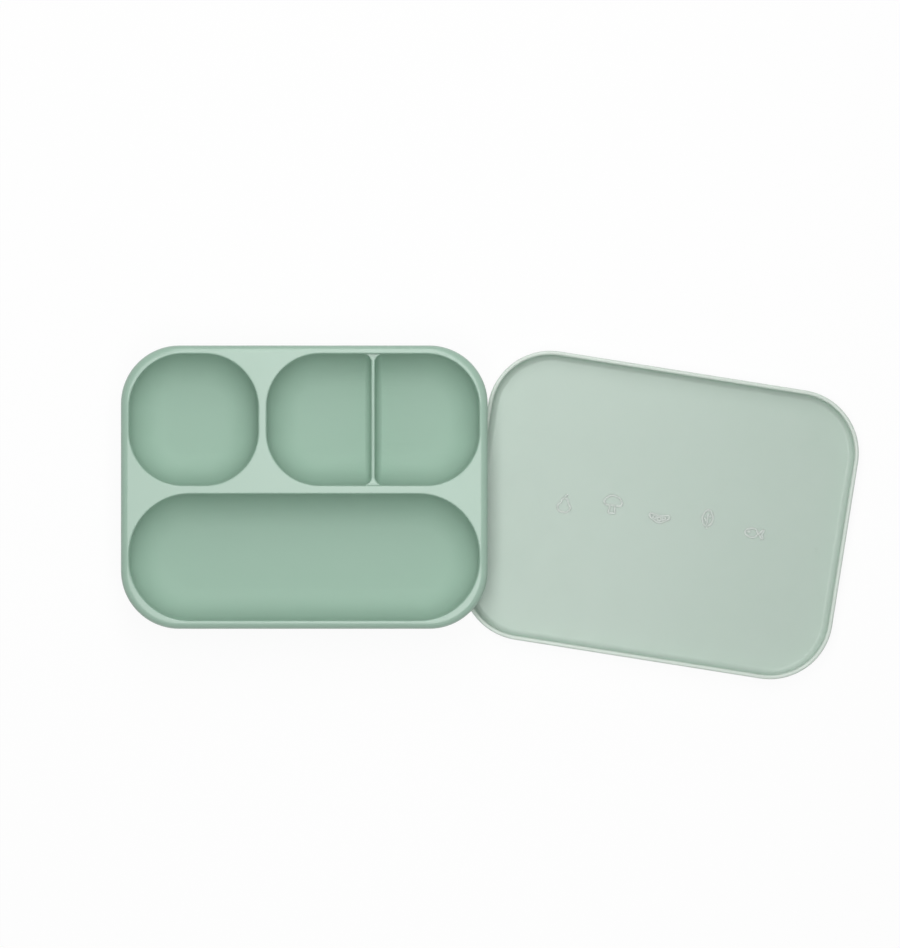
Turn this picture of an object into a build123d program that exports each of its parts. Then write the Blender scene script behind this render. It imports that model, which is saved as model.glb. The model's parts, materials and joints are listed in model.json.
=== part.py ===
"""Silicone suction tray with four food pockets, its foot, the foot's release tab and its lid.

Millimetres, +Z up. The origin is the centre of the foot's contact plane, under the middle of
the tray. The lid lies beside the tray with its inside up, and turns over onto the rim.
"""
import os
from math import cos, radians, sin, sqrt, tan

from build123d import *

os.makedirs("parts", exist_ok=True)

# Tray: outline, rim and webs
tray_length = 220.0
tray_width = 170.0
tray_corner = 35.0
rim_width = 5.0
rim_height = 6.0
rim_edge_break = 2.5
web_width = 5.0

# Tray: pockets; a pocket's flat is the straight stretch between the corners of its shorter side
small_pocket_length = 77.5
upper_pocket_width = 79.0
small_pocket_flat = 12.5
double_pocket_flat = 15.0
long_pocket_flat = 3.0
pocket_depth = 25.0
pocket_floor_radius = 15.0
pocket_mouth_break = 0.8
pocket_draft = 4.0
tray_wall = 3.0
tray_floor = 3.0
belly_bevel = 11.0

# Tray: low divider in the double pocket
divider_thickness = 2.4
divider_drop = 4.0
divider_root_break = 2.5
divider_crest_radius = 1.0

# Lid
lid_clearance = 0.4
lid_plate = 2.2
lid_inner_depth = 8.8
lid_inner_break = 2.0
lid_back_break = 2.0
skirt_thickness = 1.9
skirt_draft = 2.0
bead_thickness = 0.5
bead_height = 5.0
bead_edge_break = 0.6

# Lid at rest: how far its turning axis leans from the tray's side, and its running clearance
lid_axis_lean = 4.5
lid_swing_clearance = 0.05
tray_to_lid_gap = 1.0

# Suction foot
foot_inset = 24.0
foot_corner = 28.0
foot_flare = 10.0
foot_deck = 3.0
foot_wall = 3.0
foot_neck_bend = 3.5
lip_thickness = 0.8
lip_flat = 2.5
lip_rise = 1.8

# Release tab on the foot's front edge
tab_width = 22.0
tab_length = 15.0
tab_thickness = 1.6
tab_gap = 0.3
tab_end_radius = 8.0
tab_bar_count = 3
tab_bar_pitch = 3.0
tab_bar_width = 1.2
tab_bar_height = 0.6
tab_bar_length = 10.0

# Selecting: how near a face or an edge lies to the place it is looked for
touch = 0.05

# Levels
lid_height = lid_plate + lid_inner_depth
foot_height = lid_height + tray_to_lid_gap
pocket_floor_level = foot_height + tray_floor
rim_top = pocket_floor_level + pocket_depth

# Pocket sizes and centres that follow from the outline, the rim and the webs
double_pocket_length = tray_length - 2 * rim_width - web_width - small_pocket_length
long_pocket_length = tray_length - 2 * rim_width
long_pocket_width = tray_width - 2 * rim_width - web_width - upper_pocket_width
upper_row_y = tray_width / 2 - rim_width - upper_pocket_width / 2
long_pocket_y = -tray_width / 2 + rim_width + long_pocket_width / 2
small_pocket_x = -tray_length / 2 + rim_width + small_pocket_length / 2
double_pocket_x = tray_length / 2 - rim_width - double_pocket_length / 2

# Each pocket as centre x, centre y, length, width, flat
pockets = {
    "small": (small_pocket_x, upper_row_y, small_pocket_length, upper_pocket_width,
              small_pocket_flat),
    "double": (double_pocket_x, upper_row_y, double_pocket_length, upper_pocket_width,
               double_pocket_flat),
    "long": (0, long_pocket_y, long_pocket_length, long_pocket_width, long_pocket_flat),
}


def bowl_form(pocket, margin, depth):
    """A drafted rounded-rectangle form that hangs from the rim's top, a margin outside a pocket."""
    centre_x, centre_y, length, width, flat = pocket
    corner = (min(length, width) - flat) / 2
    mouth = Plane((centre_x, centre_y, rim_top), x_dir=(1, 0, 0), z_dir=(0, 0, -1))
    with BuildPart() as form:
        with BuildSketch(mouth):
            RectangleRounded(length + 2 * margin, width + 2 * margin, corner + margin)
        extrude(amount=depth, taper=pocket_draft)
    return form.part


def hollow_form(pocket):
    """The space inside a pocket, with the large radius between its walls and its floor."""
    with BuildPart() as hollow:
        add(bowl_form(pocket, 0, pocket_depth))
        fillet(hollow.faces().sort_by(Axis.Z)[0].edges(), pocket_floor_radius)
    return hollow.part


def belly_form(pocket):
    """The outside of a pocket, one wall outside it, bevelled where the inside is rounded."""
    with BuildPart() as belly:
        add(bowl_form(pocket, tray_wall, pocket_depth + tray_floor))
        chamfer(belly.faces().sort_by(Axis.Z)[0].edges(), belly_bevel)
    return belly.part


hollows = {name: hollow_form(pocket) for name, pocket in pockets.items()}
bellies = [belly_form(pocket) for pocket in pockets.values()]

# Divider: a thin wall that fills a slice of the double pocket up to its crest
crest_level = rim_top - divider_drop
crest_plane = Plane((double_pocket_x, upper_row_y, crest_level), x_dir=(1, 0, 0), z_dir=(0, 0, -1))
with BuildPart() as divider:
    add(hollows["double"])
    with BuildSketch(crest_plane):
        Rectangle(divider_thickness, upper_pocket_width)
    extrude(amount=pocket_depth, mode=Mode.INTERSECT)
    crest_edges = divider.edges().filter_by(Axis.Y).group_by(Axis.Z)[-1]
    fillet(crest_edges, divider_crest_radius)

# Tray: rim plate and bellies, hollowed by the pockets, with the divider grown into its pocket
with BuildPart() as tray:
    with BuildSketch(Plane.XY.offset(rim_top - rim_height)):
        RectangleRounded(tray_length, tray_width, tray_corner)
    extrude(amount=rim_height)
    chamfer(tray.faces().sort_by(Axis.Z)[-1].edges(), rim_edge_break)
    for belly in bellies:
        add(belly)
    for hollow in hollows.values():
        add(hollow, mode=Mode.SUBTRACT)
    rim_face = tray.faces().filter_by(Axis.Z).sort_by(Axis.Z)[-1]
    chamfer(rim_face.inner_wires().edges(), pocket_mouth_break)
    add(divider.part)
    divider_sides = [
        face
        for face in tray.faces().filter_by(Axis.X)
        if abs(abs(face.center().X - double_pocket_x) - divider_thickness / 2) < touch
    ]
    root_edges = [
        edge
        for face in divider_sides
        for edge in face.edges()
        if edge.center().Z < crest_level - touch
    ]
    chamfer(root_edges, divider_root_break)

# Suction foot: a ring with a thin flared lip, and the deck that carries the tray's bellies
foot_length = tray_length - 2 * foot_inset
foot_width = tray_width - 2 * foot_inset
lip_y = -foot_width / 2
neck_y = lip_y + foot_flare
deck_level = foot_height - foot_deck
with BuildPart() as suction_foot:
    with BuildLine() as half_outline:
        FilletPolyline(
            (0, lip_y), (foot_length / 2, lip_y), (foot_length / 2, -lip_y), (0, -lip_y),
            radius=foot_corner,
        )
    with BuildSketch(Plane.YZ):
        with BuildLine():
            Polyline(
                (lip_y, 0),
                (lip_y, lip_thickness),
                (neck_y - foot_neck_bend, lip_thickness + lip_rise),
                (neck_y, lip_thickness + lip_rise + foot_neck_bend),
                (neck_y, foot_height),
                (neck_y + foot_wall, foot_height),
                (neck_y + foot_wall, lip_rise + foot_neck_bend),
                (neck_y + foot_wall - foot_neck_bend, lip_rise),
                (lip_y + lip_flat, 0),
                close=True,
            )
        make_face()
    sweep(path=half_outline.wires()[0])
    mirror(about=Plane.YZ)
    with BuildSketch(Plane.XY.offset(deck_level)):
        RectangleRounded(foot_length - 2 * foot_flare, foot_width - 2 * foot_flare,
                         foot_corner - foot_flare)
    extrude(amount=foot_deck)

# Release tab: a tongue in front of the lip, with grip bars across its top
tab_y = lip_y - tab_gap - tab_length / 2
with BuildPart() as release_tab:
    with BuildSketch() as tongue:
        with Locations((0, tab_y)):
            Rectangle(tab_width, tab_length)
        fillet(tongue.vertices().group_by(Axis.Y)[0], tab_end_radius)
    extrude(amount=tab_thickness)
    with BuildSketch(Plane.XY.offset(tab_thickness)):
        with Locations((0, tab_y)):
            with GridLocations(0, tab_bar_pitch, 1, tab_bar_count):
                Rectangle(tab_bar_length, tab_bar_width)
    extrude(amount=tab_bar_height)

# Lid turning axis: level, and far enough out for the lid's plate to clear the bevelled rim
lid_axis_z = (rim_top + lid_clearance + lid_plate) / 2
plate_reach = rim_top + lid_clearance - lid_axis_z - lid_swing_clearance
rim_reach = rim_top - lid_axis_z
lid_axis_x = (
    tray_length / 2 - rim_edge_break - sqrt(plate_reach**2 - rim_reach**2)
    + (tray_width / 2 - tray_corner) * tan(radians(lid_axis_lean))
)
lid_travel = 2 * lid_axis_x * cos(radians(lid_axis_lean))
lid_rest = Plane(
    origin=(lid_travel * cos(radians(lid_axis_lean)), -lid_travel * sin(radians(lid_axis_lean)), 0),
    x_dir=(cos(radians(2 * lid_axis_lean)), -sin(radians(2 * lid_axis_lean)), 0),
    z_dir=(0, 0, 1),
)


def lid_outline(level, margin):
    """The lid's rounded rectangle on its own plane at a level, a margin outside its inner wall."""
    spread = lid_clearance + (level - lid_plate) * tan(radians(skirt_draft)) + margin
    with BuildSketch(lid_rest.offset(level)) as outline:
        RectangleRounded(tray_length + 2 * spread, tray_width + 2 * spread, tray_corner + spread)
    return outline.sketch


# Lid: a shallow pan at rest with its inside up, with a bead round its skirt's edge
with BuildPart() as lid_hollow:
    add(lid_outline(lid_plate, 0))
    extrude(amount=lid_inner_depth, taper=-skirt_draft)
    chamfer(lid_hollow.faces().sort_by(Axis.Z)[0].edges(), lid_inner_break)
with BuildPart() as lid:
    add(lid_outline(0, skirt_thickness))
    extrude(amount=lid_height, taper=-skirt_draft)
    chamfer(lid.faces().sort_by(Axis.Z)[0].edges(), lid_back_break)
    add(lid_outline(lid_height - bead_height, skirt_thickness + bead_thickness))
    extrude(amount=bead_height, taper=-skirt_draft)
    add(lid_hollow.part, mode=Mode.SUBTRACT)
    chamfer(lid.faces().sort_by(Axis.Z)[-1].edges(), bead_edge_break)

for name, piece in (
    ("tray", tray),
    ("suction_foot", suction_foot),
    ("release_tab", release_tab),
    ("lid", lid),
):
    piece.part.label = name
    export_step(piece.part, f"parts/{name}.step")

print("lid axis x, z", round(lid_axis_x, 3), round(lid_axis_z, 3))
print("lid centre", lid_rest.origin)
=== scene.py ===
"""A silicone suction tray with its lid beside it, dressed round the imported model.

Metres, in the model's own frame: +Z up, the origin under the middle of the tray, the lid at +X.
"""
import json
from math import atan2, cos, radians, sin, tan

import bmesh
import bpy
from mathutils import Matrix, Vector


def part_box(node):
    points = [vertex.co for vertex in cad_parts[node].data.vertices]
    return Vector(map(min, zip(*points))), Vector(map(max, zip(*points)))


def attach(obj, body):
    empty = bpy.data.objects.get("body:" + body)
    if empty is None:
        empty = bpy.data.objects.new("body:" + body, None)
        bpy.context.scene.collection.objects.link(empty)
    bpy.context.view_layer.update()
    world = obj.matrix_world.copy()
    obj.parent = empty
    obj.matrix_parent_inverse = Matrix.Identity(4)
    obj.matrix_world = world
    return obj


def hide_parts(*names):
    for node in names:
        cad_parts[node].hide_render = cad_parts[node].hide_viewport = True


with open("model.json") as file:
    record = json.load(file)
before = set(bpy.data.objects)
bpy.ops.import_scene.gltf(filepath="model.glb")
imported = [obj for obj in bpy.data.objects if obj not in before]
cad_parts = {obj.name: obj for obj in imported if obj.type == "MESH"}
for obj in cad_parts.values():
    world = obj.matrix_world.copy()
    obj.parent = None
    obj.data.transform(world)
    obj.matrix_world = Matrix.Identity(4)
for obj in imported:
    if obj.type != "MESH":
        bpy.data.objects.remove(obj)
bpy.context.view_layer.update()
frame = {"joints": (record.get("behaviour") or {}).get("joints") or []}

# Tray. One sage-green silicone moulding: a rim with a rounded edge, three deep pockets pressed
# from one sheet, and a low divider grown out of the double pocket. The mould was blasted, which
# leaves a fine grain: satin on the rim and the webs, and matt in the pockets.
scene = bpy.context.scene
mm = 0.001
tray_low, tray_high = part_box("tray")
tray_size = tray_high - tray_low
tray_corner = 35 * mm
tray_outline = (0, 0, tray_size.x, tray_size.y, tray_corner)
rim_top = tray_high.z
rim_height = 6 * mm
rim_round = 4.2 * mm
rim_under_round = 1.2 * mm
rim_width = 5 * mm
web_width = 5 * mm
tray_wall = 3 * mm
tray_bottom = tray_low.z
pocket_depth = 25 * mm
pocket_draft = 4
mouth_round = 1.0 * mm
floor_round = 20.5 * mm
floor_fade = 9 * mm
floor_slope = 2
upper_pocket_width = 79 * mm
small_pocket_length = 77.5 * mm
double_pocket_length = tray_size.x - 2 * rim_width - web_width - small_pocket_length
long_pocket_width = tray_size.y - 2 * rim_width - web_width - upper_pocket_width
upper_row_y = tray_high.y - rim_width - upper_pocket_width / 2
double_pocket_x = tray_high.x - rim_width - double_pocket_length / 2

# Each pocket as centre x, centre y, length, width, corner radius
pockets = {
    "small": (tray_low.x + rim_width + small_pocket_length / 2, upper_row_y,
              small_pocket_length, upper_pocket_width, 32.5 * mm),
    "double": (double_pocket_x, upper_row_y, double_pocket_length, upper_pocket_width, 32 * mm),
    "long": (0, tray_low.y + rim_width + long_pocket_width / 2,
             tray_size.x - 2 * rim_width, long_pocket_width, 36.5 * mm),
}


def arc(centre, radius, start, end, steps):
    """Points of an arc in a section, from one angle to another, in degrees."""
    turns = [radians(start + (end - start) * step / steps) for step in range(steps + 1)]
    return [(centre[0] + radius * cos(turn), centre[1] + radius * sin(turn)) for turn in turns]


sharpest_corner = 0.2 * mm


def ring(outline, inset, level, corner_steps=20):
    """A rounded rectangle's points at a level, moved inwards from its outline by an inset."""
    centre_x, centre_y, length, width, *corners = outline
    points = []
    for quarter, (side_x, side_y) in enumerate(((1, 1), (-1, 1), (-1, -1), (1, -1))):
        radius = max(corners[quarter % len(corners)] - inset, sharpest_corner)
        centre = (centre_x + side_x * (length / 2 - inset - radius),
                  centre_y + side_y * (width / 2 - inset - radius))
        for x, y in arc(centre, radius, 90 * quarter, 90 * (quarter + 1), corner_steps):
            points.append((x, y, level))
    return points


weld_distance = 0.001 * mm


def finished(name, mesh):
    """A smooth-shaded object from a bmesh, with its faces looking outwards."""
    bmesh.ops.remove_doubles(mesh, verts=mesh.verts, dist=weld_distance)
    bmesh.ops.recalc_face_normals(mesh, faces=mesh.faces)
    data = bpy.data.meshes.new(name)
    mesh.to_mesh(data)
    mesh.free()
    data.shade_smooth()
    piece = bpy.data.objects.new(name, data)
    scene.collection.objects.link(piece)
    return piece


def bridge(mesh, rows, closed=True):
    """Faces between rows of as many points each."""
    loops = [[mesh.verts.new(point) for point in row] for row in rows]
    for lower, upper in zip(loops, loops[1:]):
        for index in range(len(lower) if closed else len(lower) - 1):
            after = (index + 1) % len(lower)
            mesh.faces.new((lower[index], lower[after], upper[after], upper[index]))
    return loops


def loft(name, outline, section):
    """A closed solid whose skin follows a section of (inset, level) points round an outline."""
    mesh = bmesh.new()
    loops = bridge(mesh, [ring(outline, inset, level) for inset, level in section])
    mesh.faces.new(loops[0])
    mesh.faces.new(loops[-1])
    return finished(name, mesh)


def combine(piece, operation, others):
    """Joins other solids to a piece, or cuts them out of it, and deletes them."""
    for other in others:
        change = piece.modifiers.new(operation, "BOOLEAN")
        change.operation = operation
        change.solver = "EXACT"
        change.object = other
        result = piece.evaluated_get(bpy.context.evaluated_depsgraph_get())
        data = bpy.data.meshes.new_from_object(result)
        piece.modifiers.clear()
        piece.data = data
        bpy.data.objects.remove(other)


def shade_by_area(piece):
    """Keeps flat faces flat up to the rounds beside them."""
    piece.data.shade_smooth()
    weighting = piece.modifiers.new("shade by area", "WEIGHTED_NORMAL")
    weighting.weight = 60
    weighting.keep_sharp = False


def wall_inset(level, offset=0):
    """How far a pocket's drafted wall lies inside its mouth at a level."""
    return (rim_top - level) * tan(radians(pocket_draft)) + offset / cos(radians(pocket_draft))


def pocket_floor(offset=0):
    """The section of a pocket's floor round, and of the floor that still sinks a little after it,
    moved into the pocket by an offset."""
    centre_level = rim_top - pocket_depth + floor_round
    centre = (wall_inset(centre_level, floor_round), centre_level)
    points = arc(centre, floor_round - offset, 180 + pocket_draft, 270 - floor_slope, steps=18)
    inset, level = points[-1]
    for share in (0.25, 0.5, 0.75, 1):
        drop = floor_fade * tan(radians(floor_slope)) * (share - share**2 / 2)
        points.append((inset + floor_fade * share, level - drop))
    return points


mouth_centre = (wall_inset(rim_top - mouth_round, -mouth_round), rim_top - mouth_round)
mouth_turn = 84
cut_past_mouth = 2 * mm
mouth = arc(mouth_centre, mouth_round, mouth_turn, pocket_draft, steps=8)
mouth_start = (mouth[0][0] - cut_past_mouth,
               mouth[0][1] + cut_past_mouth * tan(radians(90 - mouth_turn)))
belly_round = floor_round + tray_wall
belly_centre_level = tray_bottom + belly_round
belly = arc((wall_inset(belly_centre_level, floor_round), belly_centre_level), belly_round,
            180 + pocket_draft, 270, steps=16)
belly_start = (wall_inset(rim_top - rim_round, -tray_wall), rim_top - rim_round)

rim_section = arc((rim_round, rim_top - rim_round), rim_round, 90, 180, steps=10)
rim_section += arc((rim_under_round, rim_top - rim_height + rim_under_round), rim_under_round,
                   180, 270, steps=6)
tray = loft("tray_moulding", tray_outline, rim_section)
bellies = [loft("belly", outline, [belly_start] + belly) for outline in pockets.values()]
hollows = [loft("hollow", outline, [mouth_start] + mouth + pocket_floor())
           for outline in pockets.values()]

# The divider's two faces stand a half thickness off its middle, and flare by a round where they
# near the pocket's walls and floor. Each station is a line round the pocket at one distance.
divider_half = 1.2 * mm
divider_flare = 5 * mm
divider_drop = 4 * mm
crest_round = 1.0 * mm
crest_level = rim_top - divider_drop
crest_start = crest_level - crest_round
sunk = 0.1 * mm
flare_steps = 10
stations = []
for turn in [radians(90 * step / flare_steps) for step in range(flare_steps + 1)]:
    off_wall = divider_flare * (1 - cos(turn)) - sunk * cos(turn)
    half = divider_half + divider_flare * (1 - sin(turn))
    section = [(wall_inset(crest_start, off_wall), crest_start)] + pocket_floor(off_wall)
    far = [(upper_row_y + upper_pocket_width / 2 - inset, level) for inset, level in section]
    near = [(2 * upper_row_y - y, level) for y, level in reversed(far)]
    stations.append((half, far + near))

mesh = bmesh.new()
sides = {}
for side in (-1, 1):
    rows = [[(double_pocket_x + side * half, y, level) for y, level in line]
            for half, line in stations]
    sides[side] = bridge(mesh, rows, closed=False)
    mesh.faces.new(sides[side][-1])
crests = []
for end in (0, -1):
    rows = []
    for half, line in stations:
        top = arc((half - crest_round, crest_start), crest_round, 0, 90, steps=5)
        top += [(-x, level) for x, level in reversed(top)]
        rows.append([(double_pocket_x + x, line[end][0], level) for x, level in top])
    crests.append(bridge(mesh, rows, closed=False))
    mesh.faces.new(crests[-1][0])
bridge(mesh, [[vert.co.copy() for vert in crest[-1]] for crest in crests], closed=False)
bridge(mesh, [[vert.co.copy() for vert in sides[side][0]] for side in (-1, 1)], closed=False)
divider = finished("divider", mesh)

combine(tray, "UNION", bellies)
combine(tray, "DIFFERENCE", hollows)
combine(tray, "UNION", [divider])
shade_by_area(tray)


def linear(red, green, blue):
    """A display colour, 0 to 255, as the linear colour that a shader takes, by the sRGB curve."""
    colour = []
    for value in (red, green, blue):
        share = value / 255
        colour.append(share / 12.92 if share <= 0.04045 else ((share + 0.055) / 1.055) ** 2.4)
    return (*colour, 1)


class Link:
    """One output in a material's node tree. Sums on it add Math nodes."""

    def __init__(self, tree, output=None):
        self.tree = tree
        self.output = output

    def node(self, kind, settings=None, sockets=None, output=0):
        """Adds a node: its settings first, then its sockets' values or links."""
        made = self.tree.nodes.new(kind)
        for name, value in (settings or {}).items():
            setattr(made, name, value)
        for name, value in (sockets or {}).items():
            if isinstance(value, Link):
                self.tree.links.new(value.output, made.inputs[name])
            else:
                made.inputs[name].default_value = value
        return Link(self.tree, made.outputs[output] if made.outputs else None)

    def sum(self, operation, first, second):
        return self.node("ShaderNodeMath", {"operation": operation}, {0: first, 1: second})

    def __add__(self, other):
        return self.sum("ADD", self, other)

    def __sub__(self, other):
        return self.sum("SUBTRACT", self, other)

    def __mul__(self, other):
        return self.sum("MULTIPLY", self, other)

    def __rsub__(self, other):
        return self.sum("SUBTRACT", other, self)

    __radd__ = __add__
    __rmul__ = __mul__


def mixed(share, first, second):
    """A colour that runs from one to another. A colour Mix node has them on sockets 6 and 7."""
    return share.node("ShaderNodeMix", {"data_type": "RGBA"},
                      {"Factor": share, 6: first, 7: second}, output=2)


def height_of(place):
    """The level of a place on a moulding."""
    return place.node("ShaderNodeSeparateXYZ", {}, {0: place}, output=2)


# The skin that all the silicone shares: the scales of its noises, how rough each leaves it, and
# the satin and matt finishes of the tray
drift_share = 0.6
drift_scale = 14
patch_scale = 60
grain_scale = 2200
skin_roughness = 0.22
patch_roughness = 0.14
grain_roughness = 0.04
grain_strength = 0.12
grain_depth = 0.05 * mm
satin_coat = 0.45
matt_roughness = 0.3
matt_fade = 6 * mm


def silicone(name, colour, other_colour, body, satin_from=None, painted_edge_glow=None):
    """Food silicone: a colour that drifts a little across the moulding, a fine moulded grain, and
    patches that are slightly glossier. body is the shader's constant settings. With satin_from,
    the skin is satin down to that level and turns matt below it. The last argument paints light
    into the colour: a paler colour for light glowing through a thin edge, the level where this
    painted glow starts and the level where it is full."""
    material = bpy.data.materials.new(name)
    material.use_nodes = True
    material.node_tree.nodes.clear()
    start = Link(material.node_tree)
    place = start.node("ShaderNodeTexCoord", output="Object")
    drift, patches, grain = [
        start.node("ShaderNodeTexNoise", {}, {"Vector": place, "Scale": scale, "Detail": detail})
        for scale, detail in ((drift_scale, 3), (patch_scale, 4), (grain_scale, 2))
    ]
    tone = mixed(drift * drift_share + patches * (1 - drift_share), colour, other_colour)
    # Painted light: the colour turns paler up towards a thin edge, standing for light that glows
    # through it.
    if painted_edge_glow:
        painted_glow_colour, painted_glow_start_level, painted_glow_full_level = painted_edge_glow
        edge = start.node("ShaderNodeMapRange", {}, {
            "Value": height_of(place), "From Min": painted_glow_start_level, "From Max": painted_glow_full_level})
        tone = mixed(edge, tone, painted_glow_colour)
    matt = 0.0
    coat = 0.0
    if satin_from:
        matt = start.node("ShaderNodeMapRange", {}, {
            "Value": height_of(place), "From Min": satin_from, "From Max": satin_from - matt_fade,
            "To Min": 0.0, "To Max": matt_roughness})
        coat = satin_coat - matt * (satin_coat / matt_roughness)
    rough = skin_roughness + patches * patch_roughness + grain * grain_roughness + matt
    relief = start.node("ShaderNodeBump", {}, {
        "Height": grain, "Strength": grain_strength, "Distance": grain_depth})
    shader = start.node("ShaderNodeBsdfPrincipled", {}, {
        "Base Color": tone, "Roughness": rough, "Normal": relief, "IOR": 1.41,
        "Coat Weight": coat, "Coat Roughness": 0.22, **body,
    })
    start.node("ShaderNodeOutputMaterial", {}, {"Surface": shader})
    return material


satin_depth = 4 * mm
tray_silicone = silicone("tray_silicone", linear(151, 181, 164), linear(157, 186, 169), {
    "Subsurface Weight": 0.12, "Subsurface Radius": (0.8, 1.0, 0.9), "Subsurface Scale": 2 * mm,
}, satin_from=rim_top - satin_depth)
tray.data.materials.append(tray_silicone)
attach(tray, "root")
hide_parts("tray")

# Suction foot. A softer silicone foot bonded under the tray: a neck that flares into a thin lip,
# hollow below, so that pressing the tray down drives the air out.
foot_low, foot_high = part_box("suction_foot")
foot_size = foot_high - foot_low
foot_corner = 28 * mm
foot_outline = (0, 0, foot_size.x, foot_size.y, foot_corner)
foot_neck = 10 * mm
foot_wall = 3 * mm
foot_deck = 3 * mm
lip_edge = 0.4 * mm
lip_flat = 2.5 * mm
neck_bend = 4.4 * mm
neck_bend_level = 7.2 * mm
neck_turn = 70
inner_bend = 4 * mm
inner_bend_level = 5.8 * mm
inner_turn = 68
deck_round = 1 * mm
foot_section = [(foot_neck, foot_high.z)]
foot_section += arc((foot_neck - neck_bend, foot_low.z + neck_bend_level), neck_bend,
                    0, -neck_turn, steps=10)
foot_section += arc((lip_edge, foot_low.z + lip_edge), lip_edge, 90, 270, steps=8)
foot_section += [(lip_flat, foot_low.z)]
foot_section += arc((foot_neck + foot_wall - inner_bend, foot_low.z + inner_bend_level),
                    inner_bend, -inner_turn, 0, steps=8)
foot_section += arc((foot_neck + foot_wall + deck_round, foot_high.z - foot_deck - deck_round),
                    deck_round, 180, 90, steps=4)
foot = loft("suction_foot_moulding", foot_outline, foot_section)
shade_by_area(foot)
foot_silicone = silicone("foot_silicone", linear(160, 195, 177), linear(167, 200, 183), {
    "Subsurface Weight": 0.2, "Subsurface Radius": (0.8, 1.0, 0.9), "Subsurface Scale": 3 * mm,
})
foot.data.materials.append(foot_silicone)
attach(foot, "root")
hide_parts("suction_foot")

# Release tab. The tongue on the front of the lip that a finger lifts to let the air in. Three low
# bars across it give the finger a hold.
tab_low, tab_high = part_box("release_tab")
tab_centre = (tab_low + tab_high) / 2
tab_size = tab_high - tab_low
tab_end = 8 * mm
tab_root = 1 * mm
tab_thickness = 1.6 * mm
tab_round = 0.7 * mm
bar_length = 10 * mm
bar_width = 1.2 * mm
bar_pitch = 3 * mm
bar_round = 0.4 * mm
tab_outline = (tab_centre.x, tab_centre.y, tab_size.x, tab_size.y,
               tab_root, tab_root, tab_end, tab_end)
tab_top = tab_low.z + tab_thickness
tab = loft("release_tab_tongue", tab_outline,
           arc((tab_round, tab_low.z + tab_round), tab_round, 270, 180, steps=6)
           + arc((tab_round, tab_top - tab_round), tab_round, 180, 90, steps=6))
bars = []
for step in (-1, 0, 1):
    bar_outline = (tab_centre.x, tab_centre.y + step * bar_pitch,
                   bar_length, bar_width, bar_width / 2)
    bars.append(loft("bar", bar_outline, [(0, tab_top - tab_round / 2)]
                     + arc((bar_round, tab_high.z - bar_round), bar_round, 180, 90, steps=5)))
combine(tab, "UNION", bars)
shade_by_area(tab)
tab.data.materials.append(foot_silicone)
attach(tab, "tab")
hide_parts("release_tab")

# Lid. One frosted, paler moulding: a flat plate whose skirt goes over the tray's rim, with a bead
# round the skirt's edge that stiffens it. It lies beside the tray with its inside up.
lid_low, lid_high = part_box("lid")
lid_centre = (lid_low + lid_high) / 2
turning_axis = next(joint for joint in frame["joints"] if joint["name"] == "lid_turns_over")["axis"]
lid_turn = -2 * atan2(-turning_axis[0], -turning_axis[1])
lid_place = Matrix.Translation((lid_centre.x, lid_centre.y, 0)) @ Matrix.Rotation(lid_turn, 4, "Z")
lid_plate = 2.2 * mm
lid_clearance = 0.4 * mm
skirt_draft = 2
skirt_thickness = 1.9 * mm
bead_thickness = 0.5 * mm
bead_height = 5 * mm
bead_round = 1.1 * mm
bead_step_round = 0.25 * mm
lid_back_round = 3 * mm
lid_inner_round = 4 * mm
# The skin is painted paler over the skirt's top 4.5 mm, fully in the top 1 mm: painted light
# standing for light glowing through the thin edge.
painted_glow_start_depth = 4.5 * mm
painted_glow_full_depth = 1 * mm


def skirt_inset(level, margin):
    """How far inside the tray's outline a wall of the skirt lies at a level: always a negative."""
    return -(lid_clearance + margin + (level - lid_plate) * tan(radians(skirt_draft)))


bead_outer = skirt_thickness + bead_thickness
rim_level = lid_high.z - bead_round
bead_foot = lid_high.z - bead_height
inner_level = lid_plate + lid_inner_round
lid_section = arc((skirt_inset(inner_level, -lid_inner_round), inner_level), lid_inner_round,
                  270, 180 - skirt_draft, steps=10)
lid_section += arc((skirt_inset(rim_level, bead_round), rim_level), bead_round, 0, 90, steps=8)
lid_section += arc((skirt_inset(rim_level, bead_outer - bead_round), rim_level), bead_round,
                   90, 180, steps=8)
lid_section += arc((skirt_inset(bead_foot, bead_outer - bead_step_round),
                    bead_foot + bead_step_round), bead_step_round, 180, 270, steps=4)
lid_section += arc((skirt_inset(bead_foot, skirt_thickness + bead_step_round),
                    bead_foot - bead_step_round), bead_step_round, 90, 0, steps=4)
lid_section += arc((skirt_inset(lid_back_round, skirt_thickness - lid_back_round),
                    lid_back_round), lid_back_round, 180 + skirt_draft, 270, steps=10)
lid = loft("lid_moulding", tray_outline, lid_section)
lid.data.transform(lid_place)
shade_by_area(lid)
lid_silicone = silicone("lid_silicone", linear(182, 200, 188), linear(187, 203, 193), {
    "Subsurface Weight": 0.5, "Subsurface Radius": (0.9, 1.0, 0.95), "Subsurface Scale": 4 * mm,
}, painted_edge_glow=(linear(208, 219, 210), lid_high.z - painted_glow_start_depth, lid_high.z - painted_glow_full_depth))
lid.data.materials.append(lid_silicone)
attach(lid, "lid")
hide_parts("lid")

# Pictures. Five small line pictures of foods stand a little proud of the lid's inside. They are
# cut into the mould with a round-nosed tool, so each line is a low round ridge.
picture_line = 0.6 * mm
picture_rise = 0.25
picture_pitch = 29 * mm
picture_stagger = 4 * mm

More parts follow.
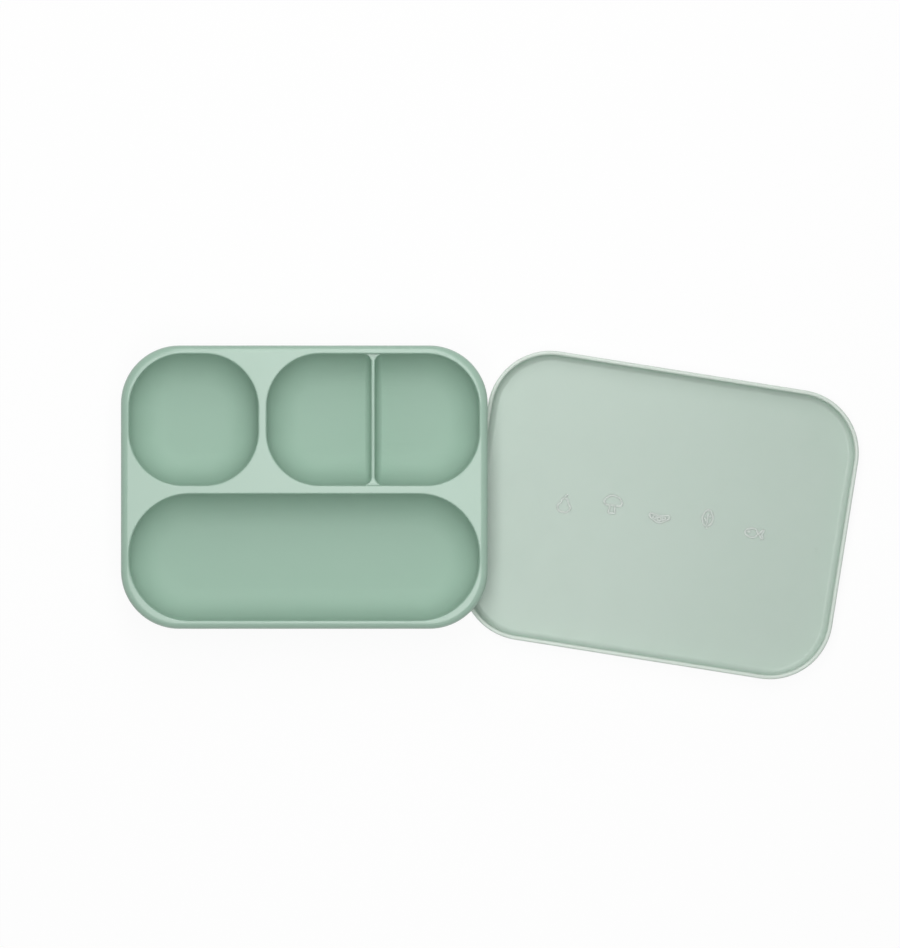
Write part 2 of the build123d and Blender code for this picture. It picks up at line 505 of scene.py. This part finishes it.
# Each picture as strokes: whether the stroke closes, and its points in millimetres
pictures = {
    "pear": [
        (True, [(0, 3.2), (-1.7, 2.2), (-2.2, 0.2), (-3.9, -2.2), (-2.6, -4.9), (0, -5.4),
                (2.6, -4.9), (3.9, -2.2), (2.2, 0.2), (1.7, 2.2)]),
        (False, [(0, 3.2), (0.3, 4.6), (1.2, 5.6)]),
    ],
    "mushroom": [
        (True, [(-5.2, 0.2), (-4.2, 3.4), (0, 5.2), (4.2, 3.4), (5.2, 0.2), (0, -0.6)]),
        (False, [(-1.7, -0.5), (-1.6, -3.4), (-2, -5), (0, -5.5), (2, -5), (1.6, -3.4),
                 (1.7, -0.5)]),
    ],
    "pea_pod": [
        (True, [(-6, 1.8), (-3, -1.6), (0, -2.6), (3, -1.6), (6, 1.8), (3.2, 1.9), (0, 1.3),
                (-3.2, 1.9)]),
        (True, [(-3.8, 0.4), (-2.6, 1.2), (-1.8, 0.1), (-2.9, -0.8)]),
        (True, [(-1.2, -0.5), (0, 0.6), (1.2, -0.5), (0, -1.6)]),
        (True, [(1.8, 0.1), (2.6, 1.2), (3.8, 0.4), (2.9, -0.8)]),
    ],
    "leaf": [
        (True, [(0, 5.6), (-2.6, 3), (-3.2, -0.4), (0, -4.2), (3.2, -0.4), (2.6, 3)]),
        (False, [(0, 3.6), (0, -0.6), (0.2, -5.8)]),
        (False, [(0, 0.6), (1, 1.5), (1.8, 2.6)]),
        (False, [(0, -1.4), (-1.1, -0.5), (-1.9, 0.7)]),
    ],
    "fish": [
        (True, [(-5.4, 0), (-2.8, 2.4), (0.6, 2.5), (3, 0.4), (5.6, 2.6), (5, 0), (5.6, -2.6),
                (3, -0.4), (0.6, -2.5), (-2.8, -2.4)]),
        (True, [(-3.5, 0.5), (-3.1, 0.9), (-2.7, 0.5), (-3.1, 0.1)]),
    ],
}
# The pictures take a paler copy of the lid's silicone: a painted highlight that stands for light
# catching the raised lines.
picture_painted_highlight = silicone("picture_painted_highlight", linear(214, 231, 220), linear(219, 234, 224), {
    "Subsurface Weight": 0.5, "Subsurface Radius": (0.9, 1.0, 0.95), "Subsurface Scale": 2 * mm,
})
for number, (name, strokes) in enumerate(pictures.items()):
    lines = bpy.data.curves.new(name, "CURVE")
    lines.dimensions = "3D"
    lines.bevel_depth = picture_line
    lines.bevel_resolution = 3
    lines.use_fill_caps = True
    for closed, points in strokes:
        stroke = lines.splines.new("BEZIER")
        stroke.bezier_points.add(len(points) - 1)
        stroke.use_cyclic_u = closed
        for bend, (x, y) in zip(stroke.bezier_points, points):
            bend.co = (x * mm, y * mm, 0)
            bend.handle_left_type = bend.handle_right_type = "AUTO"
    drawn = bpy.data.objects.new("drawn", lines)
    scene.collection.objects.link(drawn)
    result = drawn.evaluated_get(bpy.context.evaluated_depsgraph_get())
    picture = bpy.data.objects.new("picture_" + name, bpy.data.meshes.new_from_object(result))
    bpy.data.objects.remove(drawn)
    scene.collection.objects.link(picture)
    across = (number - (len(pictures) - 1) / 2) * picture_pitch
    up = picture_stagger * (1 if number % 2 else -1) / 2
    raised = Matrix.Scale(picture_rise, 4, (0, 0, 1))
    picture.data.transform(lid_place @ Matrix.Translation((across, up, lid_plate)) @ raised)
    picture.data.shade_smooth()
    picture.data.materials.append(picture_painted_highlight)
    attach(picture, "lid")

# Table. A plain white top that the tray and the lid stand on, a hair below them, so that no faces
# share its plane. It shows as near white, and keeps a share of its own shading for the shadow.
table_half = 3.0
table_drop = 0.1 * mm
table_glow = 0.93
table_colour = (0.92, 0.92, 0.92, 1)
white = (1, 1, 1, 1)


def rays_that_show(start):
    """1 for a ray that shows something: the camera's own, or one off a gloss or through a glass."""
    seen, mirrored, through = [
        start.node("ShaderNodeLightPath", output=name)
        for name in ("Is Camera Ray", "Is Glossy Ray", "Is Transmission Ray")
    ]
    return seen + mirrored + through


bpy.ops.mesh.primitive_plane_add(size=2 * table_half, location=(0, 0, -table_drop))
table = bpy.context.object
table.name = "table"
table_white = bpy.data.materials.new("table_white")
table_white.use_nodes = True
table_white.node_tree.nodes.clear()
start = Link(table_white.node_tree)
shaded = start.node("ShaderNodeBsdfDiffuse", {}, {"Color": table_colour})
glow = start.node("ShaderNodeEmission", {}, {"Color": white, "Strength": 1})
shown = start.node("ShaderNodeMixShader", {},
                   {0: rays_that_show(start) * table_glow, 1: shaded, 2: glow})
start.node("ShaderNodeOutputMaterial", {}, {"Surface": shown})
table.data.materials.append(table_white)

# Light. A long softbox hangs level over the tray and reaches far behind it, in a white room. The
# room shows as full white, and lights the pieces with about a quarter of that.
room_light = 0.24
softbox = bpy.data.objects.new("softbox", bpy.data.lights.new("softbox", "AREA"))
scene.collection.objects.link(softbox)
softbox.data.shape = "RECTANGLE"
softbox.data.size = 0.5
softbox.data.size_y = 2.8
softbox.data.energy = 20.3
softbox.location = (0.04, 0.8, 1.2)
room = bpy.data.worlds.new("room")
room.use_nodes = True
room.node_tree.nodes.clear()
start = Link(room.node_tree)
strength = room_light + rays_that_show(start) * (1 - room_light)
sky = start.node("ShaderNodeBackground", {}, {"Color": white, "Strength": strength})
start.node("ShaderNodeOutputWorld", {}, {"Surface": sky})
scene.world = room

# Camera. Looks straight down from far above the gap between the tray and the lid, and takes in
# view_height of the rim's level from front to back.
view_height = 0.568
view_centre = (0.0874, 0.0079)
camera_height = 4.0
camera = bpy.data.objects.new("camera", bpy.data.cameras.new("camera"))
scene.collection.objects.link(camera)
camera.location = (*view_centre, rim_top + camera_height)
camera.data.sensor_width = 36.0
camera.data.lens = camera.data.sensor_width * camera_height / view_height
scene.camera = camera
scene.view_settings.view_transform = "Standard"
